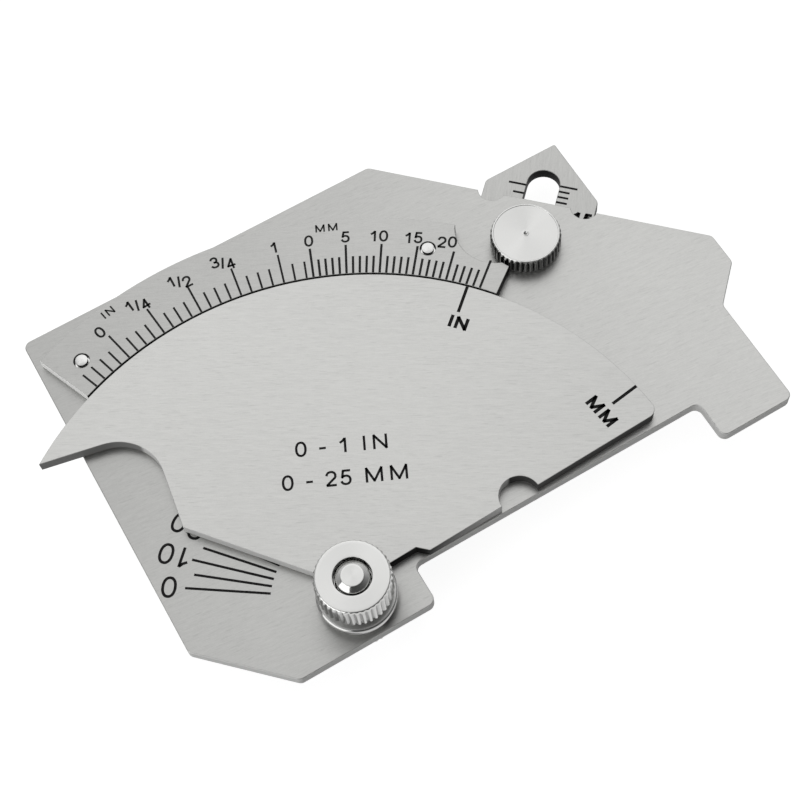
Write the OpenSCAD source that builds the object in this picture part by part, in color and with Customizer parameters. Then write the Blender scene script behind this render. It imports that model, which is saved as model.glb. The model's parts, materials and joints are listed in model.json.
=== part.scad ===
// Bridge cam weld gauge: a bridge plate with two feet, a swinging cam pointer, a riveted arc scale
// and a throat slide that runs at 45 degrees behind the plate.
// It lies on its back. X runs along the base line, Y up the plate and Z out of the front face.
// The origin is on the left foot's bearing face, under the cam pivot, at the middle of the plate.

/* [Bridge plate] */
// Thickness of the bridge plate
plate_t = 2; // [1.5:0.1:3]
// Height of the cam pivot above the base line
pivot_h = 6; // [5:0.1:8]
// Pivot to the left edge
left_reach = 24; // [20:0.5:30]
// Room between the cam's arc and the right edge
right_margin = 24.2; // [20:0.2:30]
// Room between the scale plate and the top edge
top_margin = 0.7; // [0.3:0.1:4]
// Legs of the 45 degree cut at the top right corner
corner_cut = 39; // [34:0.5:42]
// Legs of the 45 degree chamfer at the lower left corner
low_chamfer = 11.5; // [8:0.5:14]
// Length of the upright land below the 45 degree cut
right_land = 5.4; // [3:0.2:8]
// How far the right foot is set in from the land
foot_inset = 5.5; // [3:0.1:7]
// Width of the right foot
foot_w = 12.3; // [9:0.1:16]
// Pivot to the left wall of the bridge recess
recess_start = 9.2; // [8:0.1:12]
// Height of the bridge recess above the base line
recess_h = 6.4; // [4:0.1:8]
// Radius of the plate's corners
corner_r = 1.2; // [0.4:0.1:2]

/* [Cam] */
// Radius of the cam's arc, which is also the reach of its tip
cam_r = 51; // [48:0.5:56]
// Thickness of the cam
cam_t = 2; // [1.5:0.1:3]
// Reading of the pointer edge on the angle scale
angle_reading = 18; // [10:0.5:30]
// Angle between the cam's two radial edges
cam_span = 125.3; // [118:0.1:130]
// Distance from the pivot to the corner of the pointer edge
pointer_len = 27.1; // [24:0.1:30]
// How far the tip stands inside the line of the pointer edge, in degrees
tip_back = 1; // [0:0.1:3]
// Slope of the beak's underside against the lower radial edge
beak_slope = 13.7; // [10:0.1:18]
// Slope of the throat's side against the lower radial edge
throat_slope = 79.8; // [74:0.1:86]
// Radius of the throat behind the beak
throat_r = 7.4; // [5:0.1:9]
// Radius of the cam's hub
hub_r = 5.2; // [4.2:0.1:6.5]
// Depth of the relief in the lower edge beside the hub
relief_h = 1.45; // [0.5:0.05:2]
// Distance from the pivot to the end of the relief
relief_end = 10.5; // [8:0.1:14]
// Distance from the pivot to the thumb notch
notch_x = 27; // [20:0.5:36]
// Radius of the thumb notch
notch_r = 3.05; // [2:0.05:4.5]
// Radius of the cam's lower right corner
cam_corner_r = 1.5; // [0.5:0.1:2.5]

/* [Arc scale] */
// Radial width of the scale plate
scale_w = 9.8; // [8:0.05:12]
// Gap between the cam's arc and the scale plate
scale_gap = 0.3; // [0.1:0.05:0.5]
// Angle of the scale plate's right end above the base line
scale_start = 36.6; // [33:0.1:40]
// Angle of the scale plate's left end
scale_end = 112; // [108:0.5:116]
// Radius of the finger scallop beside the slide knob
scallop_r = 6.2; // [4:0.1:7]
// Angle from the right end to the scallop's centre
scallop_turn = 4.2; // [3:0.1:6]
// How far the scallop's centre stands outside the scale plate
scallop_out = 1; // [0:0.1:2]
// Radius of the rivets
rivet_r = 1.2; // [0.8:0.05:1.6]
// Height of a rivet's domed head
rivet_dome = 0.3; // [0.1:0.05:0.5]
// Angle from the right end to the right rivet
rivet_right_turn = 13.1; // [12:0.1:20]
// Angle from the left end to the left rivet
rivet_left_turn = 3.9; // [3:0.1:10]

/* [Throat slide] */
// Thickness of the slide
slide_t = 2; // [1.5:0.1:3]
// Width of the slide
slide_w = 18.2; // [16:0.2:22]
// Throat reading that the slide is set to
slide_reading = 15.2; // [13:0.1:17]
// Material left between the slot and the slide's tip
tip_wall = 5.2; // [4:0.1:7]
// Material left between the slot and the slide's lower end
tail_wall = 3.4; // [2.5:0.1:5]
// Radius of the slide's tip
tip_r = 0.3; // [0.1:0.05:0.8]
// Radius of the slide's tail corners
tail_r = 2.5; // [1:0.1:4]
// Distance from the 45 degree edge to the thumb screw
screw_setback = 7.85; // [7:0.05:10]
// Distance from the thumb screw to the guide pin
pin_spacing = 9; // [7:0.1:11]
// Radius of the label notches in the 45 degree edge
label_notch_r = 2.2; // [1.5:0.1:3]
// Distance of the label notches from the slide's centre line
label_notch_side = 7.45; // [6:0.05:8.5]
// Height of the label notches' centres above the 45 degree edge
label_notch_rise = 0.7; // [0:0.1:1.2]

/* [Fasteners] */
// Radius of the screws
screw_r = 2.5; // [2:0.1:3]
// Radius of the knurled heads and nuts
knob_r = 5.45; // [4.5:0.05:6]
// Height of the screw heads
head_h = 3.1; // [2.5:0.1:4]
// Height of the cam nut's knurled part
nut_h = 4.8; // [3.5:0.1:6]
// Radius of the cam nut's collar
collar_r = 3.7; // [3.4:0.1:4.4]
// Height of the cam nut's collar
collar_h = 1.8; // [0.6:0.1:2]
// Height of the slide's clamp nut
low_nut_h = 3.1; // [2.5:0.1:4]
// Radius of the washers
washer_r = 5.75; // [5.3:0.05:6.5]
// Thickness of the washers
washer_t = 0.9; // [0.6:0.1:1.5]
// Radius of a washer's outer rim
washer_rim_r = 0.5; // [0.1:0.05:0.55]
// How far the pivot screw stands out of its nut
screw_stand = 0.4; // [0.3:0.1:2]
// How far the slide screw stays inside its nut
screw_sink = 0.3; // [0.1:0.1:1]
// Chamfer at a screw's end
screw_chamfer = 1; // [0.4:0.1:1.2]
// Radius of the centre mark in the slide knob's face
pip_r = 0.5; // [0.2:0.1:1]
// Number of teeth on the knurled edges
knurl_teeth = 40; // [36:2:60]
// Depth of the knurled teeth
knurl_depth = 0.25; // [0.1:0.05:0.4]
// Chamfer on the knurled edges
knurl_chamfer = 0.35; // [0.2:0.05:0.6]
// Radius of the guide pin's pressed end
pin_r = 1.5; // [1:0.1:1.8]
// Depth of the guide pin's hole in the plate
pin_depth = 1.2; // [0.8:0.1:1.3]

/* [Graduations] */
// Width of an etched line
mark_w = 0.32; // [0.15:0.01:0.5]
// Depth of an etched line
mark_depth = 0.1; // [0.05:0.01:0.2]
// Length of a long line on the arc scale
arc_long = 5.1; // [4:0.1:6]
// Length of a short line on the arc scale
arc_short = 3; // [1.5:0.1:4]
// Height that the millimetre arc scale reads to
arc_range = 25; // [15:5:25]
// Sixteenths below zero on the inch arc scale, for undercut
arc_under = 4; // [0:1:4]
// Sixteenths past the last inch label on the arc scale
arc_over = 2; // [0:1:3]
// Start of the angle scale's lines, from the pivot
angle_in = 12.4; // [10:0.1:14]
// End of the angle scale's lines, from the pivot
angle_out = 24.6; // [20:0.1:26]
// How much shorter the lines between the tens are
angle_step = 0.9; // [0:0.1:4]
// Last angle on the angle scale
angle_range = 60; // [40:5:60]
// Length of a long line on the slide
slide_long = 2.85; // [2:0.05:3.5]
// Length of a short line on the slide
slide_short = 1.8; // [1:0.05:2]
// Throat reading that the slide's scale ends at
slide_range = 20; // [15:5:20]
// Length of the cam's index lines
index_len = 4.6; // [3:0.1:6]
// Angle of the inch index above the cam's lower edge
inch_index = 40; // [35:0.5:45]
// Angle of the millimetre index above the cam's lower edge
mm_index = 5.8; // [4:0.1:8]

/* [Clearances] */
// Gap between plates that slide over each other
layer_gap = 0.05; // [0.02:0.01:0.1]
// Radial clearance of a screw in its hole
bore_gap = 0.06; // [0.03:0.01:0.1]
// Side clearance of the screw and pin in the slide's slot
slot_gap = 0.1; // [0.05:0.01:0.2]
// Radial clearance of a rivet or pressed pin
press_gap = 0.02; // [0.01:0.01:0.05]
// Room around the slide knob in the scale plate
knob_gap = 0.3; // [0.3:0.1:1]
// Room left at the ends of the slide's travel
stop_gap = 0.2; // [0.1:0.05:0.5]

/* [Hidden] */
$fn = 96;
arc_steps = 16;
eps = 0.01;
inch = 25.4;
sixteenth = inch / 16;
// Angle of the zero line of the angle scale
angle_zero = 145;
steel = "#c9c9c5";
bright = "#e2e2e0";
// Places on the bridge plate
pivot = [0, pivot_h];
scale_in = cam_r + scale_gap;
scale_out = scale_in + scale_w;
rivet_ring = scale_in + scale_w / 2;
body_h = pivot_h + scale_out + top_margin;
right_x = cam_r + right_margin;
foot_out = right_x - foot_inset;
foot_in = foot_out - foot_w;
land_y = body_h - corner_cut - right_land;
// Layers, counted from the middle of the plate
front = plate_t / 2;
back = -front;
cam_z = front + layer_gap;
washer_z = cam_z + cam_t + layer_gap;
nut_z = washer_z + washer_t + layer_gap;
nut_top = nut_z + collar_h + nut_h;
slide_z = back - layer_gap - slide_t;
slide_washer_z = slide_z - layer_gap - washer_t;
low_nut_z = slide_washer_z - layer_gap - low_nut_h;
// Turn of the cam's lower radial edge above the base line
cam_turn = angle_zero - angle_reading - cam_span;
tip_angle = cam_span - tip_back;
// Frame of the slide: its origin is the sharp corner where the top and right edges would meet
corner = [right_x, body_h];
edge_depth = corner_cut / sqrt(2);
screw_depth = edge_depth + screw_setback;
slot_half = screw_r + slot_gap;
slot_top = slide_reading + tip_wall + slot_half;
slot_low = screw_depth + slide_reading + pin_spacing + stop_gap;
slide_tail = slot_low + slot_half + tail_wall;
slide_screw = corner - screw_depth * [1, 1] / sqrt(2);

function unit(v) = v / norm(v);
function cross_z(a, b) = a.x * b.y - a.y * b.x;
function polar(r, a) = [r * cos(a), r * sin(a)];
// Point where the line from p at angle a meets the line from q at angle b
function meet(p, a, q, b) =
    p + polar(1, a) * cross_z(q - p, polar(1, b)) / cross_z(polar(1, a), polar(1, b));
// Points of one rounded corner between its two neighbours
function corner_points(before, at, after, r) =
    let (
        u = unit(before - at),
        v = unit(after - at),
        half = acos(u * v) / 2,
        mid = at + unit(u + v) * r / sin(half),
        from = at + u * r / tan(half) - mid,
        sweep = (180 - 2 * half) * sign(cross_z(v, u))
    )
    [for (i = [0:arc_steps]) mid + [
        from.x * cos(sweep * i / arc_steps) - from.y * sin(sweep * i / arc_steps),
        from.x * sin(sweep * i / arc_steps) + from.y * cos(sweep * i / arc_steps)
    ]];
// Outline with a radius at each corner, where 0 keeps the corner sharp
function rounded(pts, radii) =
    [for (i = [0:len(pts) - 1])
        let (n = len(pts))
        each radii[i] > 0
            ? corner_points(pts[(i + n - 1) % n], pts[i], pts[(i + 1) % n], radii[i])
            : [pts[i]]
    ];
// Turn of the cam that brings its tip to a height above the base line
function tip_turn(h) = 180 + asin((pivot_h - h) / cam_r) - tip_angle;

// Moves what follows into the frame of the slide, with Y towards the slide's tip
module at_corner() {
    translate(corner) rotate(-45) children();
}

// Etched line along X from r0 to r1, cut down from the height z
module mark(r0, r1, z) {
    translate([r0, -mark_w / 2, z - mark_depth]) cube([r1 - r0, mark_w, mark_depth + eps]);
}

// Straight-knurled disc with chamfered rims, standing on the XY plane
module knurled_disc(h) {
    teeth = [for (i = [0:2 * knurl_teeth - 1])
        polar(i % 2 == 0 ? knob_r : knob_r - knurl_depth, i * 180 / knurl_teeth)];
    rim = knob_r - knurl_chamfer;
    over = knob_r + knurl_chamfer;
    intersection() {
        linear_extrude(h) polygon(teeth);
        rotate_extrude() polygon([[0, 0], [rim, 0], [over, over - rim], [over, h - over + rim], [rim, h], [0, h]]);
    }
}

// Screw shank along +Z from the XY plane, with a chamfered end
module shank(length) {
    rotate_extrude() polygon([[0, 0], [screw_r, 0], [screw_r, length - screw_chamfer],
        [screw_r - screw_chamfer, length], [0, length]]);
}

// Screw bore through everything from z0 up to z1
module screw_bore(z0, z1) {
    translate([0, 0, z0 - eps]) cylinder(r = screw_r + bore_gap, h = z1 - z0 + 2 * eps);
}

// Flat washer with a rounded upper rim
module washer() {
    rim = [for (i = [0:arc_steps])
        [washer_r - washer_rim_r, washer_t - washer_rim_r] + polar(washer_rim_r, i * 90 / arc_steps)];
    rotate_extrude() polygon(concat([[screw_r + bore_gap, 0], [washer_r, 0]], rim,
        [[screw_r + bore_gap, washer_t]]));
}

module body_outline() {
    pts = [[-left_reach, low_chamfer], [low_chamfer - left_reach, 0], [recess_start, 0],
        [recess_start, recess_h], [foot_in, recess_h], [foot_in, 0], [foot_out, 0],
        [foot_out, land_y - foot_inset], [right_x, land_y], [right_x, body_h - corner_cut],
        [right_x - corner_cut, body_h], [-left_reach, body_h]];
    polygon(rounded(pts, [for (p = pts) corner_r]));
}

module body_plate() {
    color(steel) difference() {
        translate([0, 0, back]) linear_extrude(plate_t) difference() {
            body_outline();
            at_corner() for (side = [-1, 1])
                translate([side * label_notch_side, label_notch_rise - edge_depth]) circle(label_notch_r);
        }
        translate(pivot) screw_bore(back, front);
        translate(slide_screw) screw_bore(back, front);
        translate(pivot) for (a = rivet_angles()) rotate(a) translate([rivet_ring, 0, back - eps])
            cylinder(r = rivet_r + press_gap, h = plate_t + 2 * eps);
        at_corner() translate([0, -screw_depth - pin_spacing, back - eps])
            cylinder(r = pin_r + press_gap, h = pin_depth + eps);
        angle_marks();
    }
}

// Angle scale around the pivot, a line every 5 degrees, longer at each 10
module angle_marks() {
    translate(pivot) for (a = [0:5:angle_range]) rotate(angle_zero - a)
        mark(angle_in, a % 10 == 0 ? angle_out : angle_out - angle_step, front);
}

function rivet_angles() = [scale_start + rivet_right_turn, scale_end - rivet_left_turn];

module scale_outline() {
    far = 2 * scale_out;
    middle = (scale_start + scale_end) / 2;
    difference() {
        intersection() {
            circle(scale_out);
            polygon([[0, 0], polar(far, scale_start), polar(far, middle), polar(far, scale_end)]);
        }
        circle(scale_in);
        rotate(scale_start + scallop_turn) translate([scale_out + scallop_out, 0]) circle(scallop_r);
        translate(slide_screw - pivot) circle(knob_r + knob_gap);
        for (a = rivet_angles()) rotate(a) translate([rivet_ring, 0]) circle(rivet_r + press_gap);
    }
}

// Inch and millimetre marks for the height of the tip, longer at each quarter inch and each 5 mm
module arc_marks() {
    for (h = [-arc_under:round(arc_range / sixteenth) + arc_over])
        rotate(inch_index + tip_turn(h * sixteenth))
            mark(scale_in - eps, scale_in + (h % 4 == 0 && h >= 0 ? arc_long : arc_short), 0);
    for (h = [0:arc_range])
        rotate(mm_index + tip_turn(h))
            mark(scale_in - eps, scale_in + (h % 5 == 0 ? arc_long : arc_short), 0);
}

module scale_plate() {
    color(steel) translate([pivot.x, pivot.y, front]) difference() {
        linear_extrude(cam_t) scale_outline();
        translate([0, 0, cam_t]) arc_marks();
    }
}

// Rivet through the plate and the scale, with a domed head, at an angle around the pivot
module scale_rivet(angle) {
    length = plate_t + cam_t;
    dome_r = (rivet_r * rivet_r + rivet_dome * rivet_dome) / (2 * rivet_dome);
    sweep = asin(rivet_r / dome_r);
    dome = [for (i = [0:arc_steps])
        [0, length + rivet_dome - dome_r] + polar(dome_r, 90 - sweep + sweep * i / arc_steps)];
    color(bright) translate([pivot.x, pivot.y, back]) rotate(angle) translate([rivet_ring, 0])
        rotate_extrude() polygon(concat([[0, 0], [rivet_r, 0]], dome));
}

module scale_rivet_right() {
    scale_rivet(rivet_angles()[0]);
}

module scale_rivet_left() {
    scale_rivet(rivet_angles()[1]);
}

// Cam with its lower radial edge along X and its pivot at the origin
module cam_outline() {
    far = 2 * cam_r;
    elbow = polar(pointer_len, cam_span);
    throat = meet(polar(cam_r, tip_angle), -beak_slope, elbow, throat_slope);
    beyond_tip = throat + polar(far, 180 - beak_slope);
    pts = [elbow, [0, relief_h], [relief_end, relief_h], [relief_end + relief_h, 0], [far, 0], [far, far],
        [beyond_tip.x, far], beyond_tip, throat];
    corner_x = sqrt(pow(cam_r - cam_corner_r, 2) - pow(cam_corner_r, 2));
    difference() {
        union() {
            intersection() {
                circle(cam_r);
                polygon(rounded(pts, [0, 0, 0, 0, 0, 0, 0, 0, throat_r]));
            }
            circle(hub_r);
        }
        circle(screw_r + bore_gap);
        translate([notch_x, 0]) circle(notch_r);
        difference() {
            translate([corner_x, -cam_corner_r]) square(2 * cam_corner_r);
            translate([corner_x, cam_corner_r]) circle(cam_corner_r);
        }
    }
}

module cam_plate() {
    color(steel) translate([pivot.x, pivot.y, cam_z]) rotate(cam_turn) difference() {
        linear_extrude(cam_t) cam_outline();
        for (a = [inch_index, mm_index]) rotate(a) mark(cam_r - index_len, cam_r + eps, cam_t);
    }
}

module cam_pivot_screw() {
    color(bright) translate([pivot.x, pivot.y, back]) union() {
        translate([0, 0, -head_h]) knurled_disc(head_h);
        translate([0, 0, -eps]) shank(nut_top + screw_stand - back + eps);
    }
}

module cam_nut_washer() {
    color(bright) translate([pivot.x, pivot.y, washer_z]) washer();
}

module cam_thumb_nut() {
    color(bright) translate([pivot.x, pivot.y, nut_z]) difference() {
        union() {
            cylinder(r = collar_r, h = collar_h + eps);
            translate([0, 0, collar_h]) knurled_disc(nut_h);
        }
        screw_bore(0, collar_h + nut_h);
    }
}

// Slide in the frame of its corner, pointing along +Y, with its tip at the set reading
module slide_outline() {
    half = slide_w / 2;
    shoulder = -slide_reading - half;
    pts = [[0, -slide_reading], [-half, shoulder], [-half, -slide_tail], [half, -slide_tail],
        [half, shoulder]];
    difference() {
        polygon(rounded(pts, [tip_r, corner_r, tail_r, tail_r, corner_r]));
        translate([-slot_half, -slot_low]) square([2 * slot_half, slot_low - slot_top]);
        translate([0, -slot_top]) circle(slot_half);
        translate([0, -slot_low]) circle(slot_half);
    }
}

// Throat marks on the slide: millimetres to the right of the slot and sixteenths to the left
module slide_marks() {
    for (m = [0:slide_range])
        translate([0, m - edge_depth - slide_reading])
            mark(slot_half - eps, slot_half + (m % 5 == 0 ? slide_long : slide_short), 0);
    for (m = [0:floor(slide_range / sixteenth)])
        translate([0, m * sixteenth - edge_depth - slide_reading]) mirror([1, 0])
            mark(slot_half - eps, slot_half + (m % 4 == 0 ? slide_long : slide_short), 0);
}

module slide_plate() {
    color(steel) translate([0, 0, slide_z]) at_corner() difference() {
        linear_extrude(slide_t) slide_outline();
        translate([0, 0, slide_t]) slide_marks();
    }
}

module slide_guide_pin() {
    color(bright) at_corner() translate([0, -screw_depth - pin_spacing, 0]) union() {
        translate([0, 0, slide_z + layer_gap]) cylinder(r = screw_r, h = back - slide_z - layer_gap);
        translate([0, 0, back - eps]) cylinder(r = pin_r, h = pin_depth - layer_gap + eps);
    }
}

module slide_thumb_screw() {
    length = front + layer_gap - low_nut_z - screw_sink;
    color(bright) translate([slide_screw.x, slide_screw.y, front + layer_gap]) difference() {
        union() {
            knurled_disc(head_h);
            translate([0, 0, eps]) mirror([0, 0, 1]) shank(length + eps);
        }
        translate([0, 0, head_h - pip_r]) cylinder(r1 = 0, r2 = pip_r + eps, h = pip_r + eps);
    }
}

module slide_washer() {
    color(bright) translate([slide_screw.x, slide_screw.y, slide_washer_z + washer_t])
        mirror([0, 0, 1]) washer();
}

module slide_clamp_nut() {
    color(bright) translate([slide_screw.x, slide_screw.y, low_nut_z]) difference() {
        knurled_disc(low_nut_h);
        screw_bore(0, low_nut_h);
    }
}

body_plate();
scale_plate();
scale_rivet_left();
scale_rivet_right();
cam_plate();
cam_pivot_screw();
cam_nut_washer();
cam_thumb_nut();
slide_plate();
slide_guide_pin();
slide_thumb_screw();
slide_washer();
slide_clamp_nut();
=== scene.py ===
import json
import math
import bpy
import bmesh
import numpy as np
from mathutils import Matrix, Vector
from mathutils.geometry import tessellate_polygon

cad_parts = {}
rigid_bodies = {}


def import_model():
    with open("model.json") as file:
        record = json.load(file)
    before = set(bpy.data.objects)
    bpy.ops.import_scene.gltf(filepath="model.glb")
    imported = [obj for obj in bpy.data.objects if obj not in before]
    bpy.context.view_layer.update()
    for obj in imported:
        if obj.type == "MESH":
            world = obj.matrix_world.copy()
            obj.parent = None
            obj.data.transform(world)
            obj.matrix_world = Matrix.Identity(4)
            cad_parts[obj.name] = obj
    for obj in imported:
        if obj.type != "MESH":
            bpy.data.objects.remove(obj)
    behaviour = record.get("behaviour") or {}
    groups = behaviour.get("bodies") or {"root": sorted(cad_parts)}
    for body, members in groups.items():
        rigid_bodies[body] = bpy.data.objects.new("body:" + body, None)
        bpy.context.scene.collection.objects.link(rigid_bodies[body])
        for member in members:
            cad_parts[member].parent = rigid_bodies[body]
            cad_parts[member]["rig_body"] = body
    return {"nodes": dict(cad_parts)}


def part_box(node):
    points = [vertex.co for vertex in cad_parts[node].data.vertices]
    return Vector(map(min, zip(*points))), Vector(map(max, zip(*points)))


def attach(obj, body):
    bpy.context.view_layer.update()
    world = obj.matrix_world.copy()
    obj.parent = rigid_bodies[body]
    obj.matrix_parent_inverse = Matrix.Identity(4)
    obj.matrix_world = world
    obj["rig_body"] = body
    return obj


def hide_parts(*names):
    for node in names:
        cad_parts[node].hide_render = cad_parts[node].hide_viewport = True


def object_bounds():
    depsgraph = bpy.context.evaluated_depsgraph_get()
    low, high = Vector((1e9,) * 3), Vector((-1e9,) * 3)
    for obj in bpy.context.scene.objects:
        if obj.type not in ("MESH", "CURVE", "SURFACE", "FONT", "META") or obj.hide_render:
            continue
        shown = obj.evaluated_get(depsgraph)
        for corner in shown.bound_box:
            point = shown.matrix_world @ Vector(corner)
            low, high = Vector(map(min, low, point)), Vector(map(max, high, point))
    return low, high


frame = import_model()
cadBox = [list(corner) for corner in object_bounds()]
mm = 0.001  # settings are in millimetres, the scene is in metres


# Shader sums
class Wire:  # a shader socket that takes part in Python sums
    def __init__(self, tree, socket):
        self.tree = tree
        self.socket = socket

    def node(self, kind, settings=None, sockets=None, out=0):  # any node: its settings, then its sockets
        made = self.tree.nodes.new(kind)
        for key, value in (settings or {}).items():
            if key == "stops":
                fillRamp(made.color_ramp, value)
            else:
                setattr(made, key, value)
        for key, value in (sockets or {}).items():
            if isinstance(value, Wire):
                self.tree.links.new(value.socket, made.inputs[key])
            else:
                made.inputs[key].default_value = value
        return Wire(self.tree, made.outputs[out])

    def sum(self, operation, first, second):
        return self.node("ShaderNodeMath", {"operation": operation}, {0: first, 1: second})

    def __add__(self, other):
        return self.sum("ADD", self, other)

    def __sub__(self, other):
        return self.sum("SUBTRACT", self, other)

    def __rsub__(self, other):
        return self.sum("SUBTRACT", other, self)

    def __mul__(self, other):
        return self.sum("MULTIPLY", self, other)

    def __truediv__(self, other):
        return self.sum("DIVIDE", self, other)

    __radd__ = __add__
    __rmul__ = __mul__

    def toward(self, first, second):  # colour from first to second as this value goes from 0 to 1
        return self.node("ShaderNodeMix", {"data_type": "RGBA"}, {0: self, 6: first, 7: second}, out=2)


def fillRamp(ramp, stops):  # stops as (place, grey)
    while len(ramp.elements) < len(stops):
        ramp.elements.new(1.0)
    for element, (place, grey) in zip(ramp.elements, stops):
        element.position = place
        element.color = (grey, grey, grey, 1)


def newMaterial(name):
    material = bpy.data.materials.new(name)
    material.use_nodes = True
    shader = material.node_tree.nodes["Principled BSDF"]
    return material, shader, Wire(material.node_tree, shader.outputs[0])


def feed(shader, wire, sockets):  # values and wires into the shader's own sockets
    for key, value in sockets.items():
        if isinstance(value, Wire):
            wire.tree.links.new(value.socket, shader.inputs[key])
        else:
            shader.inputs[key].default_value = value


# Finishes
noiseMiddle = 0.5  # about where a noise pattern lies on average

satin = {
    "tone": (0.53, 0.53, 0.517, 1),
    "shade": (0.44, 0.44, 0.43, 1),
    "rough": 0.36,
    "edgeRough": 0.5,
    "edgeMetal": 0.05,  # a sheared edge scatters most of its light
    "pocket": (0.01, 0.01, 0.01, 1),  # painted shade: near black, on walls of holes and slots, in narrow gaps and on shaded walls
    "specular": 0.04,
    # patterns as length, width and noise detail
    "hair": (1.7, 0.11, 3.0),  # brushed hair lines
    "band": (4.2, 0.5, 2.0),  # the softer bands between them
    "cloud": (26.0, 26.0, 1.0),  # broad cloudy patches
    "speck": (0.22, 0.22, 1.0),  # fine mottle
    "nick": (1.5, 0.12, 0.0),  # scattered scratches
    "grit": 0.6,  # roughness of each noise
    "mix": (0.45, 0.2, 0.2, 0.15),  # shares of hair, band, cloud and speck in the tone
    "mixStops": [(0.36, 0), (0.62, 1)],
    "nickStops": [(0.68, 0), (0.78, 1)],
    "nickDark": 0.1,
    "hairRough": 0.16,  # how far hair lines and clouds change the roughness
    "cloudRough": 0.06,
    "depth": 0.0035,  # height of the brushed relief
    "bandRelief": 0.6,
    "paintedLightSpan": 100.0,  # width of the painted light gradient across a plate
    # direction of the painted light gradient, in degrees
    "paintedLightTurn": 45,
}


def satinSteel(name, look):
    # sheet steel brushed along the look's grain, in degrees from X; its tone is lightened toward +X -Y by the
    # look's slope, a painted light gradient
    material, shader, wire = newMaterial(name)
    spot = wire.node("ShaderNodeTexCoord", out="Object")
    grain = wire.node("ShaderNodeMapping", None, {
        "Vector": spot, "Rotation": (0, 0, -math.radians(look["grain"])),
        "Location": (look["shift"] * mm, look["shift"] * mm, 0)})

    def streak(long, wide, detail):  # noise drawn out to a length and a width along the grain
        stretched = wire.node("ShaderNodeMapping", None, {
            "Vector": grain, "Scale": (1 / (long * mm), 1 / (wide * mm), 1 / (wide * mm))})
        return wire.node("ShaderNodeTexNoise", None, {
            "Vector": stretched, "Scale": 1.0, "Detail": detail, "Roughness": satin["grit"]})

    hair, band, cloud, speck, scratch = (
        streak(*satin[pattern]) for pattern in ("hair", "band", "cloud", "speck", "nick"))
    rim = wire.node("ShaderNodeAttribute", {"attribute_name": "rim"}, out="Fac")
    pocket = wire.node("ShaderNodeAttribute", {"attribute_name": "pocket"}, out="Fac")
    hairShare, bandShare, cloudShare, speckShare = satin["mix"]
    worn = hair * hairShare + band * bandShare + cloud * cloudShare + speck * speckShare
    face = wire.node("ShaderNodeValToRGB", {"stops": satin["mixStops"]}, {0: worn})
    # painted light: the tone changes across the plate toward +X -Y, as if light fell more on one side
    turnedSpot = wire.node("ShaderNodeMapping", None, {
        "Vector": spot, "Rotation": (0, 0, math.radians(satin["paintedLightTurn"]))})
    across = wire.node("ShaderNodeSeparateXYZ", None, {0: turnedSpot}, out="X") / (satin["paintedLightSpan"] * mm)
    nick = wire.node("ShaderNodeValToRGB", {"stops": satin["nickStops"]}, {0: scratch})
    level = (look["level"] + across * look["paintedLightSlope"]) * (1.0 - nick * satin["nickDark"])
    faceTone = wire.node("ShaderNodeVectorMath", {"operation": "SCALE"},
                         {0: face.toward(satin["shade"], satin["tone"]), "Scale": level})
    faceRough = (satin["rough"] + (hair - noiseMiddle) * satin["hairRough"]
                 + (cloud - noiseMiddle) * satin["cloudRough"])
    relief = wire.node("ShaderNodeBump", None, {
        "Strength": 1.0, "Distance": satin["depth"] * mm, "Height": hair + band * satin["bandRelief"]})
    # walls take the plate's wall colour, or near-black painted shade where the shade mask is set
    feed(shader, wire, {
        "Base Color": rim.toward(faceTone, pocket.toward(look["edge"], satin["pocket"])),
        "Metallic": 1.0 - rim * (1 - satin["edgeMetal"]),
        "Specular IOR Level": satin["specular"],
        "Roughness": faceRough + rim * (satin["edgeRough"] - satin["rough"]),
        "Normal": relief,
    })
    return material


bright = {
    "tone": (0.70, 0.70, 0.69, 1),
    "shade": (0.57, 0.57, 0.56, 1),
    "rough": 0.15,
    "facedRough": 0.37,  # faces cut flat on the lathe
    "stretch": 0.85,  # how far a highlight is drawn out across the turning marks
    "stretchTurn": 0.25,  # a quarter turn, so that it is drawn out from the axis
    "ring": 0.11,  # pitch of the turning marks
    "ringNoise": {"Scale": 1.0, "Detail": 2.0, "Roughness": 0.7},
    "smearNoise": {"Scale": 900.0, "Detail": 2.0},
    "ringShare": 0.6,  # shares of marks and smears in the tone
    "smearShare": 0.4,
    "ringRough": 0.12,  # how far they change the roughness
    "smearRough": 0.08,
    "depth": 0.0024,
    "grimeAndShadeTone": (0.03, 0.03, 0.03, 1),  # dark fill in the knurl and thread grooves: partly grime, partly painted shade and dark reflection
}


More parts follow.
